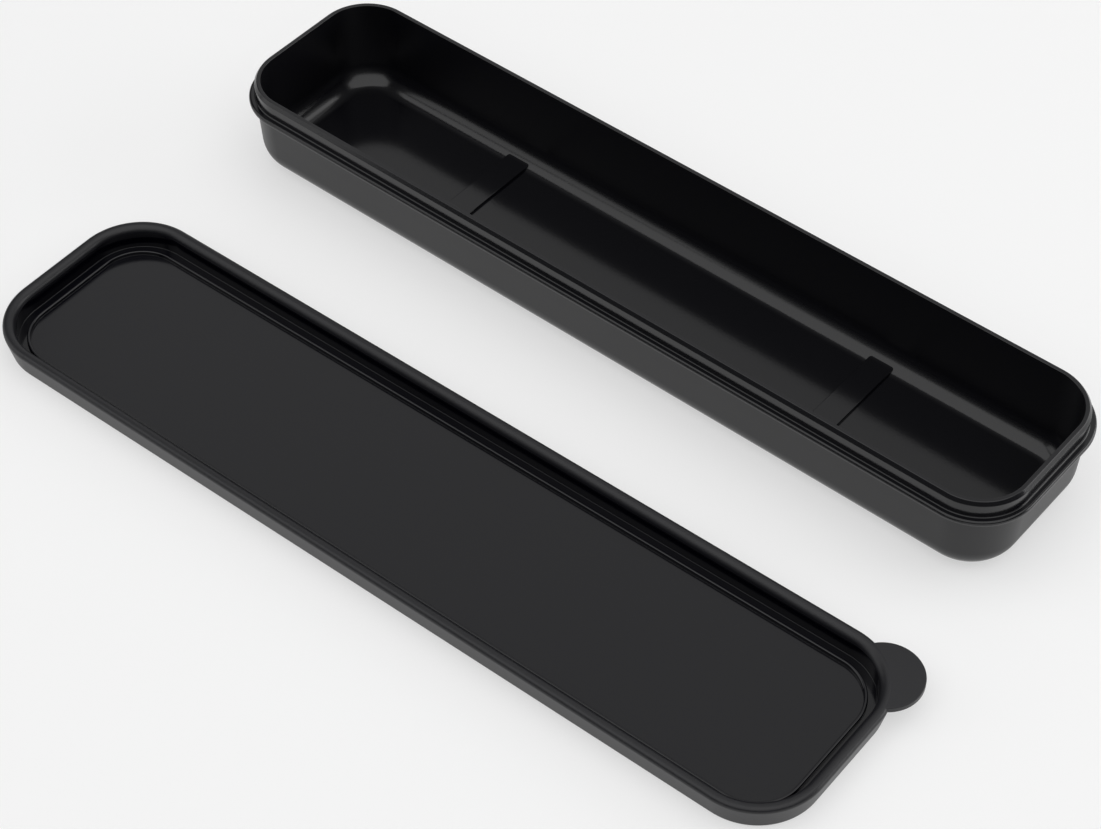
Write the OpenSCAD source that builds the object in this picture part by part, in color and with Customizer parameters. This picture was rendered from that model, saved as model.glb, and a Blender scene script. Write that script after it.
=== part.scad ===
// Travel cutlery case: a long tray and its push-on lid, lying beside it with the hollow side up.
// The tray's length runs along X, and the lid lies on its -Y side.
// The origin is the centre of the tray's flat underside.

/* [Case] */
// Length of the shut case, measured over the lid
case_l = 230; // [150:1:320]
// Width of the shut case, measured over the lid
case_w = 54.6; // [48:0.2:90]
// Radius of the lid's corners, seen from above
corner_r = 16.7; // [15:0.1:22]
// Gap on each side between the tray's rim and the skirt of the lid pushed over it
fit_gap = 0.32; // [0.1:0.01:0.6]

/* [Tray] */
// Height of the tray
tray_h = 25.2; // [20:0.1:40]
// Height of the rim above the ledge
rim_h = 4.4; // [3:0.1:5.4]
// Thickness of the rim
rim_t = 1.6; // [1.4:0.05:2.4]
// How far the steep bevel on the rim's outer edge reaches in
bevel_in = 0.62; // [0.2:0.02:0.7]
// How far the bevel reaches down
bevel_down = 0.95; // [0.3:0.05:1.2]
// Rounding on the rim's inner edge
rim_round = 0.2; // [0.1:0.05:0.3]
// Hollow rounding where the rim rises from the ledge
foot_round = 0.3; // [0.1:0.05:0.6]
// How far the ledge stands out from the rim
ledge_out = 1.6; // [1.4:0.02:2.2]
// Thickness of the ledge
ledge_t = 1.5; // [1.4:0.05:2.2]
// Rounding on the ledge's two edges
ledge_round = 0.65; // [0.2:0.05:0.65]
// How far the wall below the ledge stands in from the rim's face
wall_in = 0.1; // [0:0.05:0.4]
// How far the outside of the wall leans in on its way down to the table
outer_lean = 1.1; // [0.3:0.05:1.6]
// How far the inside of the wall leans in on its way down to the floor
inner_lean = 0.6; // [0.3:0.05:1.6]
// Outer radius between the wall and the underside
base_round = 8; // [5:0.1:9]
// Inner radius between the wall and the floor
floor_round = 5.5; // [4:0.1:7.5]
// Thickness of the floor
floor_t = 1.8; // [1:0.05:2.4]

/* [Ribs] */
// Distance from the middle of the tray to the middle of each rib
rib_x = 55.3; // [20:0.1:60]
// Width of a rib
rib_w = 6.8; // [4:0.1:12]
// Height of a rib above the floor
rib_h = 0.7; // [0.5:0.1:2.4]
// Rounding of a rib's corners, seen from above
rib_round = 1; // [0.4:0.1:1.8]

/* [Lid] */
// Height of the lid
lid_h = 7.3; // [6.8:0.1:12]
// Thickness of the skirt where it faces the tray's rim
skirt_t = 3.2; // [3.05:0.05:3.8]
// How far the skirt leans in on its way to the outer face
skirt_lean = 1.5; // [0.3:0.05:1.8]
// Rounding on the outer edge of the skirt's rim
skirt_edge_round = 1; // [0.3:0.05:1.1]
// Rounding on the inner edge of the skirt's rim, which leads the tray in
lead_in_round = 1.8; // [0.6:0.05:1.85]
// Rounding between the skirt and the outer face
face_round = 0.8; // [0.3:0.05:1.2]
// Hollow rounding between the skirt and the panel
panel_round = 0.2; // [0.2:0.05:1]
// Thickness of the panel
panel_t = 1.3; // [1:0.05:1.9]

/* [Ridge] */
// Gap between the ridge and the inside of the tray's rim
ridge_gap = 0.2; // [0.2:0.02:0.8]
// Width of the ridge
ridge_w = 0.8; // [0.6:0.05:1.6]
// Height of the ridge above the panel
ridge_h = 1; // [0.6:0.1:2.4]
// Rounding on the ridge's two edges
ridge_round = 0.25; // [0.1:0.01:0.28]

/* [Finger tab] */
// Radius of the tab
tab_r = 8.65; // [6:0.05:11]
// How far the tab stands out past the lid's corner
tab_out = 6.6; // [4:0.1:9]
// Thickness of the tab
tab_t = 1.5; // [1:0.1:2.4]
// Rounding on the tab's edges
tab_round = 0.4; // [0.1:0.05:0.45]
// How far the tab's upper face lies below the edge of the skirt
tab_drop = 0.05; // [0.05:0.05:0.4]
// Direction of the tab from the centre of its corner, measured from the lid's length
tab_angle = 42; // [40:1:50]

/* [Resting place] */
// Distance between the middle of the tray and the middle of the lid that lies beside it
apart = 81.6; // [75:0.1:130]
// How far the lid lies turned from the tray's direction
lid_turn = 1.11; // [-3:0.01:3]

/* [Hidden] */
$fn = 96;
arc_step = 9;
tray_colour = "#17171a";
lid_colour = "#19191c";

// Both pieces are swept round the same four corner centres, so these hold for the tray and the lid
centre_x = case_l / 2 - corner_r;
centre_y = case_w / 2 - corner_r;

// Radii from a corner centre out to each face of the tray
rim_face_r = corner_r - skirt_t - fit_gap;
rim_inner_r = rim_face_r - rim_t;
ledge_r = rim_face_r + ledge_out;
wall_top_r = rim_face_r - wall_in;
wall_base_r = wall_top_r - outer_lean;
floor_r = rim_inner_r - inner_lean;
ledge_z = tray_h - rim_h;

// Radii from a corner centre out to each face of the lid
face_r = corner_r - skirt_lean;
recess_r = corner_r - skirt_t;
ridge_outer_r = rim_inner_r - ridge_gap;
ridge_inner_r = ridge_outer_r - ridge_w;
ridge_z = panel_t + ridge_h;
tab_centre_r = corner_r + tab_out - tab_r;
// The tab starts on the flat middle of the skirt's rim
tab_root_r = (corner_r - skirt_edge_round + recess_r + lead_in_round) / 2;

// The ribs end inside the rounding that carries the wall
rib_wall_inner_r = floor_r - floor_round + sqrt(pow(floor_round, 2) - pow(floor_round - rib_h, 2));
rib_wall_outer_r = wall_base_r - base_round + sqrt(pow(base_round, 2) - pow(base_round - floor_t, 2));
rib_end_y = centre_y + (rib_wall_inner_r + rib_wall_outer_r) / 2;

// Half a turn about one level axis sets the lid squarely on the tray from this place
lid_place = apart * [sin(lid_turn / 2), -cos(lid_turn / 2), 0];

function unit(v) = v / norm(v);

function turn_between(from, to) =
    let (turn = to - from)
    turn > 180 ? turn - 360 : (turn < -180 ? turn + 360 : turn);

// Points of the arc of radius r that rounds corner b on the way from a to c
function corner_arc(a, b, c, r) =
    let (
        back = unit(a - b),
        ahead = unit(c - b),
        half = acos(back * ahead) / 2,
        centre = b + unit(back + ahead) * r / sin(half),
        first = b + back * r / tan(half) - centre,
        last = b + ahead * r / tan(half) - centre,
        start = atan2(first[1], first[0]),
        turn = turn_between(start, atan2(last[1], last[0])),
        steps = ceil(abs(turn) / arc_step)
    )
    [for (i = [0:steps]) centre + r * [cos(start + turn * i / steps), sin(start + turn * i / steps)]];

// An outline of [x, y, rounding] corners, as plain points
function rounded(corners) =
    let (count = len(corners))
    [for (i = [0:count - 1])
        let (
            a = corners[(i + count - 1) % count],
            b = corners[i],
            c = corners[(i + 1) % count]
        )
        each b[2] == 0 ? [[b[0], b[1]]] : corner_arc([a[0], a[1]], [b[0], b[1]], [c[0], c[1]], b[2])];

// Sweeps a wall's section round the four corners and along the sides, and fills the middle with a slab
module moulding(slab_t) {
    centres = [[centre_x, centre_y], [-centre_x, centre_y], [-centre_x, -centre_y], [centre_x, -centre_y]];
    lengths = [2 * centre_y, 2 * centre_x, 2 * centre_y, 2 * centre_x];
    for (i = [0:3]) {
        translate([centres[i][0], centres[i][1], 0])
            rotate([0, 0, 90 * i]) {
                rotate_extrude(angle = 90)
                    children();
                rotate([90, 0, 0])
                    linear_extrude(lengths[i])
                        children();
            }
    }
    linear_extrude(slab_t)
        square([2 * centre_x, 2 * centre_y], center = true);
}

module tray_section() {
    polygon(rounded([
        [0, 0, 0],
        [wall_base_r, 0, base_round],
        [wall_top_r, ledge_z - ledge_t, 0],
        [ledge_r, ledge_z - ledge_t, ledge_round],
        [ledge_r, ledge_z, ledge_round],
        [rim_face_r, ledge_z, foot_round],
        [rim_face_r, tray_h - bevel_down, 0],
        [rim_face_r - bevel_in, tray_h, 0],
        [rim_inner_r, tray_h, rim_round],
        [floor_r, floor_t, floor_round],
        [0, floor_t, 0]
    ]));
}

module rib() {
    translate([0, 0, floor_t])
        linear_extrude(rib_h)
            polygon(rounded([
                [-rib_w / 2, -rib_end_y, rib_round],
                [rib_w / 2, -rib_end_y, rib_round],
                [rib_w / 2, rib_end_y, rib_round],
                [-rib_w / 2, rib_end_y, rib_round]
            ]));
}

module tray() {
    color(tray_colour) {
        moulding(floor_t)
            tray_section();
        for (x = [-rib_x, rib_x])
            translate([x, 0, 0])
                rib();
    }
}

module lid_section() {
    polygon(rounded([
        [0, 0, 0],
        [face_r, 0, face_round],
        [corner_r, lid_h, skirt_edge_round],
        [recess_r, lid_h, lead_in_round],
        [recess_r, panel_t, panel_round],
        [ridge_outer_r, panel_t, 0],
        [ridge_outer_r, ridge_z, ridge_round],
        [ridge_inner_r, ridge_z, ridge_round],
        [ridge_inner_r, panel_t, 0],
        [0, panel_t, 0]
    ]));
}

module finger_tab() {
    difference() {
        translate([tab_centre_r * cos(tab_angle), tab_centre_r * sin(tab_angle), lid_h - tab_drop - tab_t])
            rotate_extrude()
                polygon(rounded([
                    [0, 0, 0],
                    [tab_r, 0, tab_round],
                    [tab_r, tab_t, tab_round],
                    [0, tab_t, 0]
                ]));
        cylinder(h = lid_h, r = tab_root_r);
    }
}

module lid() {
    color(lid_colour)
        translate(lid_place)
            rotate([0, 0, lid_turn]) {
                moulding(panel_t)
                    lid_section();
                translate([centre_x, centre_y, 0])
                    finger_tab();
            }
}

tray();
lid();
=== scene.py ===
"""The looks of a black travel cutlery case: an open tray, and its push-on lid lying hollow side up."""

import math

import bpy
from mathutils import Matrix, Vector


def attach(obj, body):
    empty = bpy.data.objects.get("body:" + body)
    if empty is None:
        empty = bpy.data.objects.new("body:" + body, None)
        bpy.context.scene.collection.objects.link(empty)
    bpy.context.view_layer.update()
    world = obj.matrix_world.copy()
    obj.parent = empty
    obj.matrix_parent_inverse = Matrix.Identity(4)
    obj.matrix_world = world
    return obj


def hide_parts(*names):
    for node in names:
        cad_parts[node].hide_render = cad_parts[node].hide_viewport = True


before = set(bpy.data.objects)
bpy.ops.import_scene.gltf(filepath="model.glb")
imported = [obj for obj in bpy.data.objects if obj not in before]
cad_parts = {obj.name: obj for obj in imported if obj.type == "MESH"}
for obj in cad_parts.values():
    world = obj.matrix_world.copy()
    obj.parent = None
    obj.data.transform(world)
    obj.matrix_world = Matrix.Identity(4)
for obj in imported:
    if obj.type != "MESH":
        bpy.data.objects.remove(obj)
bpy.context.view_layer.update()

MM = 0.001

# The case, in millimetres: both mouldings are swept round the same four corner centres
CASE_LENGTH = 230.0
CASE_WIDTH = 54.6
CORNER_RADIUS = 16.7
FIT_GAP = 0.32
CENTRE_X = CASE_LENGTH / 2 - CORNER_RADIUS
CENTRE_Y = CASE_WIDTH / 2 - CORNER_RADIUS

# The tray
TRAY_HEIGHT = 25.2
RIM_HEIGHT = 4.4
RIM_THICKNESS = 1.6
BEVEL_IN = 0.62
BEVEL_DOWN = 0.95
BEVEL_EDGE = 0.25
RIM_ROUND = 0.2
FOOT_ROUND = 0.3
LEDGE_OUT = 1.6
LEDGE_THICKNESS = 1.5
LEDGE_ROUND = 0.65
WALL_IN = 0.1
WALL_ROUND = 0.1
OUTER_LEAN = 1.1
INNER_LEAN = 0.6
BASE_ROUND = 8.0
FLOOR_ROUND = 5.5
FLOOR_THICKNESS = 1.8

# The ribs across the tray's floor, which reach past the corner centres and end inside the walls
RIB_X = 55.3
RIB_WIDTH = 6.8
RIB_HEIGHT = 0.7
RIB_ROUND = 1.0
RIB_EDGE = 0.22
RIB_REACH = 8.6
RIB_SUNK = 0.2

# The lid, as it lies on its outer face
LID_HEIGHT = 7.3
SKIRT_THICKNESS = 3.2
SKIRT_LEAN = 1.5
SKIRT_EDGE_ROUND = 1.0
LEAD_IN_ROUND = 1.8
FACE_ROUND = 0.8
PANEL_ROUND = 0.12
PANEL_THICKNESS = 1.3
RIDGE_GAP = 0.2
RIDGE_WIDTH = 0.8
RIDGE_HEIGHT = 1.0
RIDGE_FOOT = 0.06
RIDGE_ROUND = 0.3

# The finger tab at one corner of the lid, which reaches in over the skirt's rim
TAB_RADIUS = 8.65
TAB_OUT = 6.6
TAB_THICKNESS = 1.5
TAB_EDGE = 0.2
TAB_DROP = 0.05
TAB_ANGLE = 42.0
TAB_REACH_IN = 1.2
CUTTER_HEIGHT = 4 * LID_HEIGHT

# Where the lid lies
APART = 81.6
LID_TURN = 1.11

# Distances from a corner's centre out to the faces where the two pieces meet
RECESS_FACE = CORNER_RADIUS - SKIRT_THICKNESS
RIM_FACE = RECESS_FACE - FIT_GAP
RIM_INSIDE = RIM_FACE - RIM_THICKNESS

# How finely the round shapes are drawn: degrees to a step in a section, and steps elsewhere
ARC_STEP = 5.0
CORNER_STEPS = 32
RIB_ROUND_STEPS = 8
RIB_EDGE_STEPS = 3
TAB_STEPS = 96
TAB_EDGE_STEPS = 5
CUTTER_STEPS = 128

# Edges sharper than this many degrees stay sharp, and large faces count fully in the shading
SMOOTH_ANGLE = 25.0
FACE_WEIGHT = 100

# Smaller differences in place don't count, and points closer together than this become one
TOLERANCE = 0.01
MERGE_DISTANCE = 0.002

# Heights between which the glossy floor of the tray turns into its walls, and these into its rim
WALL_FOOT = 2.0
WALL_TOP = 6.0
RIM_FOOT = 19.0
RIM_TOP = 21.0

# The plastic's grain and slow waves: how many to a metre, how detailed, how deep together, and
# how strongly the plastic mirrors
GRAIN_SCALE = 2500.0
GRAIN_DETAIL = 2.0
WAVE_SCALE = 28.0
WAVE_DETAIL = 1.0
NOISE_MIDDLE = 0.5
BUMP_DEPTH = 0.02
PLASTIC_IOR = 1.5

# The camera: where it looks, from which direction and how far away in millimetres, and its lens
CAMERA_AIM = (4.73, -41.55, 0.0)
CAMERA_AZIMUTH = 309.5
CAMERA_ELEVATION = 47.48
CAMERA_DISTANCE = 617.86
CAMERA_LENS = 87.63
CAMERA_SENSOR = 36.0
CAMERA_CLIP = (0.01, 50.0)

# The floor: its size in metres, its colour, how far out in metres it fades, and how white it
# looks to the camera before and after
FLOOR_SIZE = 8.0
FLOOR_GREY = 0.88
FADE_START = 0.45
FADE_END = 1.0
NEAR_GLOW = 0.5
FAR_GLOW = 1.0

# The light: the dim room, and the softboxes' common aim and distance in metres
ROOM_GREY = 0.14
LAMP_AIM = (0.0, -0.04, 0.0)
LAMP_DISTANCE = 1.0


def wrapped(angle):
    """The same angle, between minus half a turn and half a turn."""
    return (angle + math.pi) % math.tau - math.pi


def rounded(corners):
    """Points of an open line through [x, y, rounding] corners. The two end corners are left out."""
    points = []
    for before, corner, after in zip(corners, corners[1:], corners[2:]):
        at = Vector(corner[:2])
        back = (Vector(before[:2]) - at).normalized()
        ahead = (Vector(after[:2]) - at).normalized()
        half = back.angle(ahead) / 2
        radius = corner[2]
        centre = at + (back + ahead).normalized() * radius / math.sin(half)
        first = at + back * radius / math.tan(half) - centre
        last = at + ahead * radius / math.tan(half) - centre
        start = math.atan2(first.y, first.x)
        turn = wrapped(math.atan2(last.y, last.x) - start)
        steps = math.ceil(abs(math.degrees(turn)) / ARC_STEP)
        for i in range(steps + 1):
            angle = start + turn * i / steps
            points.append(centre + radius * Vector((math.cos(angle), math.sin(angle))))
    return points


def direction(azimuth, elevation):
    """A unit vector, from an azimuth measured from +X towards +Y and an elevation, in degrees."""
    azimuth, elevation = math.radians(azimuth), math.radians(elevation)
    return Vector((
        math.cos(azimuth) * math.cos(elevation),
        math.sin(azimuth) * math.cos(elevation),
        math.sin(elevation),
    ))


def choose(piece):
    """Makes one piece the active one, and the only one that is selected."""
    bpy.ops.object.select_all(action="DESELECT")
    bpy.context.view_layer.objects.active = piece
    piece.select_set(True)


def edit(piece):
    """Opens one piece in edit mode with nothing selected."""
    choose(piece)
    bpy.ops.object.mode_set(mode="EDIT")
    bpy.ops.mesh.select_all(action="DESELECT")


def done():
    """Closes edit mode."""
    bpy.ops.object.mode_set(mode="OBJECT")


def select_edges(piece, wanted):
    """Selects the edges whose two ends pass a test. The piece stays in edit mode."""
    bpy.ops.mesh.select_mode(type="EDGE")
    bpy.ops.mesh.select_all(action="DESELECT")
    done()
    for edge in piece.data.edges:
        a, b = (piece.data.vertices[v].co for v in edge.vertices)
        edge.select = wanted(a, b)
    bpy.ops.object.mode_set(mode="EDIT")


def combine(piece, other, operation):
    """Fuses another solid into a piece, or cuts it out of the piece. The other solid is used up."""
    choose(piece)
    change = piece.modifiers.new("combine", "BOOLEAN")
    change.operation = operation
    change.solver = "EXACT"
    change.object = other
    bpy.ops.object.modifier_apply(modifier=change.name)
    bpy.data.objects.remove(other)


def smooth(piece):
    """Rounded edges shade smoothly, and flat faces stay flat beside them."""
    choose(piece)
    bpy.ops.object.shade_smooth_by_angle(angle=math.radians(SMOOTH_ANGLE))
    weighted = piece.modifiers.new("flat faces", "WEIGHTED_NORMAL")
    weighted.keep_sharp = True
    weighted.weight = FACE_WEIGHT
    bpy.ops.object.modifier_apply(modifier=weighted.name)


def drawn_line(name, points):
    """A wire drawn from point to point, left open in edit mode with all of it selected."""
    bpy.ops.object.select_all(action="DESELECT")
    bpy.ops.mesh.primitive_plane_add(size=MM)
    piece = bpy.context.object
    piece.name = name
    edit(piece)
    bpy.ops.mesh.select_mode(type="VERT")
    bpy.ops.mesh.select_all(action="SELECT")
    bpy.ops.mesh.merge(type="CENTER")
    bpy.ops.transform.translate(value=points[0])
    for here, there in zip(points, points[1:]):
        bpy.ops.mesh.extrude_vertices_move(TRANSFORM_OT_translate={"value": there - here})
    bpy.ops.mesh.select_all(action="SELECT")
    return piece


def moulding(name, section):
    """Spins a section round each corner, draws it out along each side, and closes floor and base."""
    start = Vector((CENTRE_X, -CENTRE_Y, 0))
    line = [(start + Vector((0, -r, z))) * MM for r, z in section]
    piece = drawn_line(name, line)
    corners = [
        (CENTRE_X, -CENTRE_Y),
        (CENTRE_X, CENTRE_Y),
        (-CENTRE_X, CENTRE_Y),
        (-CENTRE_X, -CENTRE_Y),
    ]
    for (x, y), (next_x, next_y) in zip(corners, corners[1:] + corners[:1]):
        bpy.ops.mesh.spin(
            steps=CORNER_STEPS,
            angle=math.pi / 2,
            center=(x * MM, y * MM, 0),
            axis=(0, 0, -1),
        )
        side = Vector((next_x - x, next_y - y, 0)) * MM
        bpy.ops.mesh.extrude_edges_move(TRANSFORM_OT_translate={"value": side})
    bpy.ops.mesh.select_all(action="SELECT")
    bpy.ops.mesh.remove_doubles(threshold=MERGE_DISTANCE * MM)
    bpy.ops.mesh.select_all(action="DESELECT")
    bpy.ops.mesh.select_mode(type="EDGE")
    bpy.ops.mesh.select_non_manifold()
    bpy.ops.mesh.fill_holes(sides=0)
    bpy.ops.mesh.select_all(action="SELECT")
    bpy.ops.mesh.normals_make_consistent(inside=False)
    done()
    return piece


def tray_section():
    """From the floor over the rim and the ledge to the underside, as distances from a corner's centre."""
    ledge = RIM_FACE + LEDGE_OUT
    ledge_z = TRAY_HEIGHT - RIM_HEIGHT
    wall = RIM_FACE - WALL_IN
    return rounded([
        (0, FLOOR_THICKNESS, 0),
        (RIM_INSIDE - INNER_LEAN, FLOOR_THICKNESS, FLOOR_ROUND),
        (RIM_INSIDE, TRAY_HEIGHT, RIM_ROUND),
        (RIM_FACE - BEVEL_IN, TRAY_HEIGHT, BEVEL_EDGE),
        (RIM_FACE, TRAY_HEIGHT - BEVEL_DOWN, BEVEL_EDGE),
        (RIM_FACE, ledge_z, FOOT_ROUND),
        (ledge, ledge_z, LEDGE_ROUND),
        (ledge, ledge_z - LEDGE_THICKNESS, LEDGE_ROUND),
        (wall, ledge_z - LEDGE_THICKNESS, WALL_ROUND),
        (wall - OUTER_LEAN, 0, BASE_ROUND),
        (0, 0, 0),
    ])


def rib(x):
    """A low flat block across the floor, rounded at its corners and softened along its top."""
    top = FLOOR_THICKNESS + RIB_HEIGHT
    bottom = FLOOR_THICKNESS - RIB_SUNK
    bpy.ops.object.select_all(action="DESELECT")
    bpy.ops.mesh.primitive_cube_add(size=MM, location=(0, 0, 0))
    block = bpy.context.object
    edit(block)
    bpy.ops.mesh.select_all(action="SELECT")
    bpy.ops.transform.resize(value=(RIB_WIDTH, 2 * (CENTRE_Y + RIB_REACH), top - bottom))
    bpy.ops.transform.translate(value=(x * MM, 0, (top + bottom) / 2 * MM))
    select_edges(block, lambda a, b: abs(a.z - b.z) > TOLERANCE * MM)
    bpy.ops.mesh.bevel(offset=RIB_ROUND * MM, segments=RIB_ROUND_STEPS)
    select_edges(block, lambda a, b: min(a.z, b.z) > (top - TOLERANCE) * MM)
    bpy.ops.mesh.bevel(offset=RIB_EDGE * MM, segments=RIB_EDGE_STEPS)
    done()
    return block


def lid_section():
    """From the panel over the ridge and the skirt's rim down to the outer face."""
    ridge = RIM_INSIDE - RIDGE_GAP
    ridge_z = PANEL_THICKNESS + RIDGE_HEIGHT
    return rounded([
        (0, PANEL_THICKNESS, 0),
        (ridge - RIDGE_WIDTH, PANEL_THICKNESS, RIDGE_FOOT),
        (ridge - RIDGE_WIDTH, ridge_z, RIDGE_ROUND),
        (ridge, ridge_z, RIDGE_ROUND),
        (ridge, PANEL_THICKNESS, RIDGE_FOOT),
        (RECESS_FACE, PANEL_THICKNESS, PANEL_ROUND),
        (RECESS_FACE, LID_HEIGHT, LEAD_IN_ROUND),
        (CORNER_RADIUS, LID_HEIGHT, SKIRT_EDGE_ROUND),
        (CORNER_RADIUS - SKIRT_LEAN, 0, FACE_ROUND),
        (0, 0, 0),
    ])


def cylinder(steps, radius, depth, place):
    """A plain cylinder with its middle at a place, left open in edit mode with all of it selected."""
    bpy.ops.object.select_all(action="DESELECT")
    bpy.ops.mesh.primitive_cylinder_add(vertices=steps, radius=radius * MM, depth=depth * MM)
    piece = bpy.context.object
    edit(piece)
    bpy.ops.mesh.select_all(action="SELECT")
    bpy.ops.transform.translate(value=place * MM)
    return piece


def finger_tab():
    """A thin disc with soft edges, cut off where it starts on the skirt's rim."""
    corner = Vector((CENTRE_X, CENTRE_Y, 0))
    out = CORNER_RADIUS + TAB_OUT - TAB_RADIUS
    angle = math.radians(TAB_ANGLE)
    middle_z = LID_HEIGHT - TAB_DROP - TAB_THICKNESS / 2
    place = corner + Vector((out * math.cos(angle), out * math.sin(angle), middle_z))
    disc = cylinder(TAB_STEPS, TAB_RADIUS, TAB_THICKNESS, place)
    select_edges(disc, lambda a, b: abs(a.z - b.z) < TOLERANCE * MM)
    bpy.ops.mesh.bevel(offset=TAB_EDGE * MM, segments=TAB_EDGE_STEPS)
    done()
    cutter = cylinder(CUTTER_STEPS, CORNER_RADIUS - TAB_REACH_IN, CUTTER_HEIGHT, corner)
    done()
    combine(disc, cutter, "DIFFERENCE")
    return disc


def give_second_material(piece, wanted):
    """Gives it to the faces that pass a test on how far out they lie and which way they face."""
    for face in piece.data.polygons:
        place = face.center / MM
        # From the rectangle between the four corner centres out to the face
        across = Vector((max(abs(place.x) - CENTRE_X, 0), max(abs(place.y) - CENTRE_Y, 0)))
        if wanted(across.length, face.normal):
            face.material_index = 1


def laid_beside(piece):
    """Turns and moves a piece from the middle of the plan to where the lid lies."""
    turn = math.radians(LID_TURN)
    place = Vector((math.sin(turn / 2), -math.cos(turn / 2), 0)) * APART * MM
    piece.data.transform(Matrix.Translation(place) @ Matrix.Rotation(turn, 4, "Z"))


def feed(tree, socket, value):
    """Sets an input to a plain number, or links the output of another node to it."""
    if isinstance(value, bpy.types.NodeSocket):
        tree.links.new(value, socket)
    else:
        socket.default_value = value


def worked_out(tree, operation, *values):
    """The output of a Math node with the given operation."""
    node = tree.nodes.new("ShaderNodeMath")
    node.operation = operation
    for socket, value in zip(node.inputs, values):
        feed(tree, socket, value)
    return node.outputs[0]


def eased(tree, value, start, end, low, high):
    """Goes smoothly from low to high while a value goes from start to end."""
    node = tree.nodes.new("ShaderNodeMapRange")
    node.interpolation_type = "SMOOTHSTEP"
    feed(tree, node.inputs["Value"], value)
    feed(tree, node.inputs["From Min"], start)
    feed(tree, node.inputs["From Max"], end)
    feed(tree, node.inputs["To Min"], low)
    feed(tree, node.inputs["To Max"], high)
    return node.outputs[0]


def noise(tree, place, scale, detail):
    """Soft noise between 0 and 1."""
    node = tree.nodes.new("ShaderNodeTexNoise")
    feed(tree, node.inputs["Vector"], place)
    feed(tree, node.inputs["Scale"], scale)
    feed(tree, node.inputs["Detail"], detail)
    return node.outputs["Fac"]


def shaders_mixed(tree, share, first, second):
    """The output of a Mix Shader node: all first at a share of 0, and all second at 1."""
    node = tree.nodes.new("ShaderNodeMixShader")
    for socket, value in zip(node.inputs, (share, first, second)):
        feed(tree, socket, value)
    return node.outputs[0]


def node_group(name, inputs, outputs):
    """An empty shader node group with float inputs and outputs, and the sockets at its two ends."""
    group = bpy.data.node_groups.new(name, "ShaderNodeTree")
    for label in inputs:
        group.interface.new_socket(label, in_out="INPUT", socket_type="NodeSocketFloat")
    for label in outputs:
        group.interface.new_socket(label, in_out="OUTPUT", socket_type="NodeSocketFloat")
    return group, group.nodes.new("NodeGroupInput").outputs, group.nodes.new("NodeGroupOutput").inputs


def moulded_grain():
    """Fine grain over slow waves, as a height, and a mottled roughness that changes up the walls."""
    group, given, made = node_group(
        "moulded grain",
        inputs=["Grain", "Wave", "Roughness", "Wall Roughness", "Rim Roughness", "Mottle"],
        outputs=["Height", "Roughness"],
    )
    place = group.nodes.new("ShaderNodeTexCoord").outputs["Object"]
    grain = noise(group, place, GRAIN_SCALE, GRAIN_DETAIL)
    wave = noise(group, place, WAVE_SCALE, WAVE_DETAIL)
    fine = worked_out(group, "MULTIPLY", grain, given["Grain"])
    slow = worked_out(group, "MULTIPLY", wave, given["Wave"])
    feed(group, made["Height"], worked_out(group, "ADD", fine, slow))

    apart = group.nodes.new("ShaderNodeSeparateXYZ")
    feed(group, apart.inputs[0], place)
    up = apart.outputs["Z"]
    wall = eased(group, up, WALL_FOOT * MM, WALL_TOP * MM, given["Roughness"], given["Wall Roughness"])
    rim = eased(group, up, RIM_FOOT * MM, RIM_TOP * MM, wall, given["Rim Roughness"])
    centred = worked_out(group, "SUBTRACT", wave, NOISE_MIDDLE)
    feed(group, made["Roughness"], worked_out(group, "MULTIPLY_ADD", centred, given["Mottle"], rim))
    return group


def black_plastic(name, group, colour, roughness, wall_roughness, rim_roughness, grain, wave, mottle):
    """Black moulded plastic with its own grain, and a roughness for its floor, its walls and its rim."""
    material = bpy.data.materials.new(name)
    material.use_nodes = True
    tree = material.node_tree
    surface = tree.nodes.new("ShaderNodeGroup")
    surface.node_tree = group
    surface.inputs["Roughness"].default_value = roughness
    surface.inputs["Wall Roughness"].default_value = wall_roughness
    surface.inputs["Rim Roughness"].default_value = rim_roughness
    surface.inputs["Grain"].default_value = grain
    surface.inputs["Wave"].default_value = wave
    surface.inputs["Mottle"].default_value = mottle
    bump = tree.nodes.new("ShaderNodeBump")
    bump.inputs["Distance"].default_value = BUMP_DEPTH * MM
    feed(tree, bump.inputs["Height"], surface.outputs["Height"])
    shader = tree.nodes["Principled BSDF"]
    shader.inputs["Base Color"].default_value = (*colour, 1)
    shader.inputs["IOR"].default_value = PLASTIC_IOR
    feed(tree, shader.inputs["Roughness"], surface.outputs["Roughness"])
    feed(tree, shader.inputs["Normal"], bump.outputs["Normal"])
    return material


def set_up(name, data, aim, out, distance):
    """Puts a camera or a lamp in the scene, at a distance from what it looks at."""
    thing = bpy.data.objects.new(name, data)
    thing.location = aim + out * distance
    thing.rotation_mode = "QUATERNION"
    thing.rotation_quaternion = (-out).to_track_quat("-Z", "Y")
    bpy.context.scene.collection.objects.link(thing)
    return thing


def camera():
    """A long lens that looks down on both pieces from in front and to the right."""
    data = bpy.data.cameras.new("camera")
    data.lens = CAMERA_LENS
    data.sensor_width = CAMERA_SENSOR
    data.clip_start, data.clip_end = CAMERA_CLIP
    out = direction(CAMERA_AZIMUTH, CAMERA_ELEVATION)
    bpy.context.scene.camera = set_up("camera", data, Vector(CAMERA_AIM) * MM, out, CAMERA_DISTANCE * MM)


def softbox(name, azimuth, elevation, width, height, radiance):
    """A rectangular lamp in the given direction, in degrees, with its size in metres."""
    data = bpy.data.lights.new(name, "AREA")
    data.shape = "RECTANGLE"
    data.size = width
    data.size_y = height
    data.energy = radiance * math.pi * width * height
    lamp = set_up(name, data, Vector(LAMP_AIM), direction(azimuth, elevation), LAMP_DISTANCE)
    lamp.visible_camera = False


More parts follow.
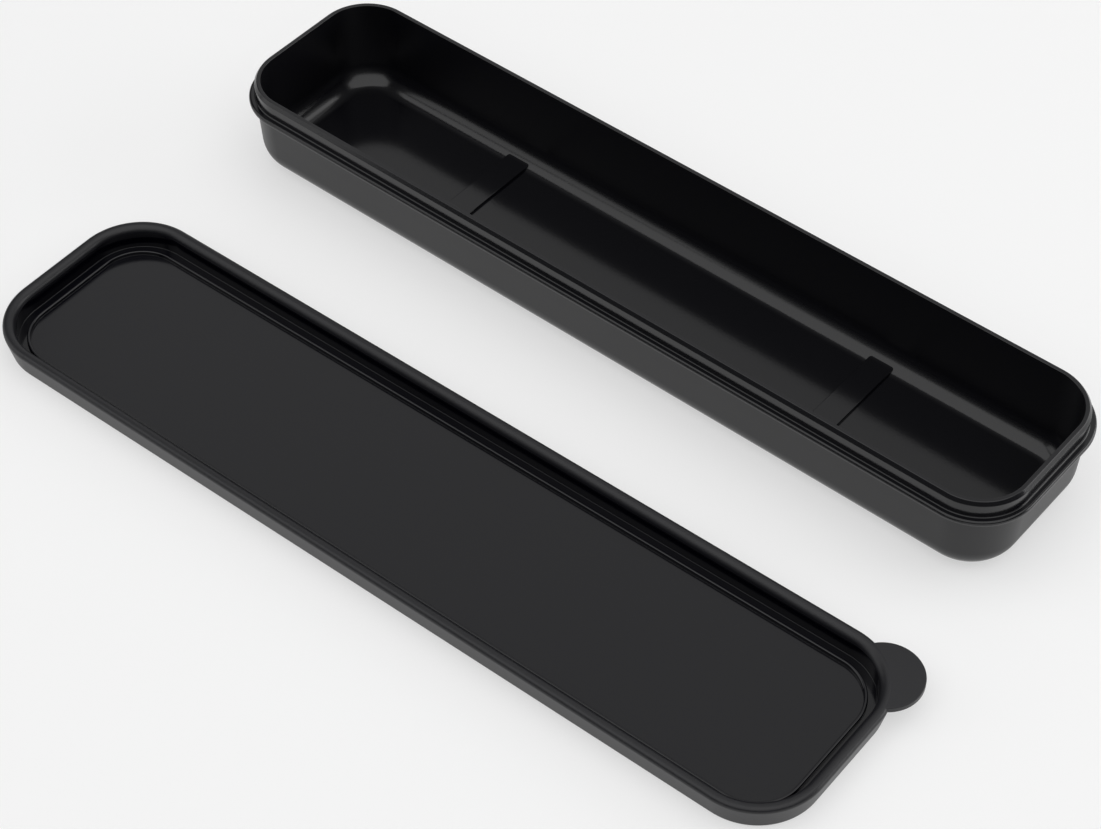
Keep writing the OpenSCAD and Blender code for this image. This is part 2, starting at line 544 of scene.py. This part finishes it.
def seen_rays(tree):
    """One for rays that show the floor itself: straight, mirrored or seen through something clear."""
    path = tree.nodes.new("ShaderNodeLightPath").outputs
    straight = worked_out(tree, "MAXIMUM", path["Is Camera Ray"], path["Is Glossy Ray"])
    return worked_out(tree, "MAXIMUM", straight, path["Is Transmission Ray"])


def pale_floor():
    """A matt pale floor that keeps its shadow near by and fades to white far off."""
    bpy.ops.object.select_all(action="DESELECT")
    bpy.ops.mesh.primitive_plane_add(size=FLOOR_SIZE)
    floor = bpy.context.object
    floor.name = "floor"
    material = bpy.data.materials.new("floor")
    material.use_nodes = True
    tree = material.node_tree
    shader = tree.nodes["Principled BSDF"]
    shader.inputs["Base Color"].default_value = (FLOOR_GREY, FLOOR_GREY, FLOOR_GREY, 1)
    shader.inputs["Roughness"].default_value = 1.0
    glow = tree.nodes.new("ShaderNodeEmission")
    glow.inputs["Strength"].default_value = 1.0
    place = tree.nodes.new("ShaderNodeTexCoord")
    away = tree.nodes.new("ShaderNodeVectorMath")
    away.operation = "LENGTH"
    feed(tree, away.inputs[0], place.outputs["Object"])
    fade = eased(tree, away.outputs["Value"], FADE_START, FADE_END, NEAR_GLOW, FAR_GLOW)
    share = worked_out(tree, "MULTIPLY", seen_rays(tree), fade)
    mixed = shaders_mixed(tree, share, shader.outputs[0], glow.outputs[0])
    feed(tree, tree.nodes["Material Output"].inputs["Surface"], mixed)
    floor.data.materials.append(material)


def dim_room():
    """A grey world that looks white to the camera."""
    world = bpy.data.worlds.new("room")
    world.use_nodes = True
    bpy.context.scene.world = world
    tree = world.node_tree
    room = tree.nodes["Background"]
    room.inputs["Color"].default_value = (ROOM_GREY, ROOM_GREY, ROOM_GREY, 1)
    white = tree.nodes.new("ShaderNodeBackground")
    white.inputs["Color"].default_value = (1, 1, 1, 1)
    path = tree.nodes.new("ShaderNodeLightPath")
    mixed = shaders_mixed(tree, path.outputs["Is Camera Ray"], room.outputs[0], white.outputs[0])
    feed(tree, tree.nodes["World Output"].inputs["Surface"], mixed)


def studio():
    """A pale floor in a dim room, under a large softbox, with lower ones behind and on both sides."""
    bpy.context.scene.view_settings.view_transform = "Standard"
    pale_floor()
    dim_room()
    softbox("overhead", azimuth=309.5, elevation=75, width=1.8, height=1.7, radiance=1.15)
    softbox("behind", azimuth=101, elevation=30, width=1.6, height=1.4, radiance=0.48)
    softbox("left", azimuth=213, elevation=25, width=0.75, height=0.8, radiance=1.0)
    softbox("right", azimuth=45, elevation=16, width=0.7, height=0.5, radiance=3.0)


grain_group = moulded_grain()
tray_black = black_plastic(
    "tray black", grain_group, colour=(0.0022, 0.0022, 0.0036),
    roughness=0.12, wall_roughness=0.4, rim_roughness=0.15, grain=0.3, wave=0.5, mottle=0.04,
)
tray_hollow = black_plastic(
    "tray hollow black", grain_group, colour=(0.0018, 0.0018, 0.0031),
    roughness=0.12, wall_roughness=0.36, rim_roughness=0.36, grain=0.3, wave=0.5, mottle=0.04,
)
lid_gloss = black_plastic(
    "lid gloss black", grain_group, colour=(0.0008, 0.0008, 0.0026),
    roughness=0.13, wall_roughness=0.13, rim_roughness=0.13, grain=0.1, wave=0.4, mottle=0.04,
)
lid_satin = black_plastic(
    "lid satin black", grain_group, colour=(0.0028, 0.0028, 0.0048),
    roughness=0.4, wall_roughness=0.4, rim_roughness=0.4, grain=1.0, wave=0.2, mottle=0.06,
)

tray = moulding("tray_shell", tray_section())
for x in (-RIB_X, RIB_X):
    combine(tray, rib(x), "UNION")
tray.data.materials.append(tray_black)
tray.data.materials.append(tray_hollow)
# The second material is for the tray's hollow, which is satin right up to the rim
give_second_material(tray, lambda out, normal: out < RIM_INSIDE - TOLERANCE and normal.z > 0)
smooth(tray)
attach(tray, "tray")
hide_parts("tray")

lid = moulding("lid_shell", lid_section())
combine(lid, finger_tab(), "UNION")
lid.data.materials.append(lid_gloss)
lid.data.materials.append(lid_satin)
# The second material is for the lid's skirt, its rim and its tab, beside a glossy panel and recess
give_second_material(lid, lambda out, normal: out > RECESS_FACE + TOLERANCE)
laid_beside(lid)
smooth(lid)
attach(lid, "lid")
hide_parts("lid")

camera()
studio()
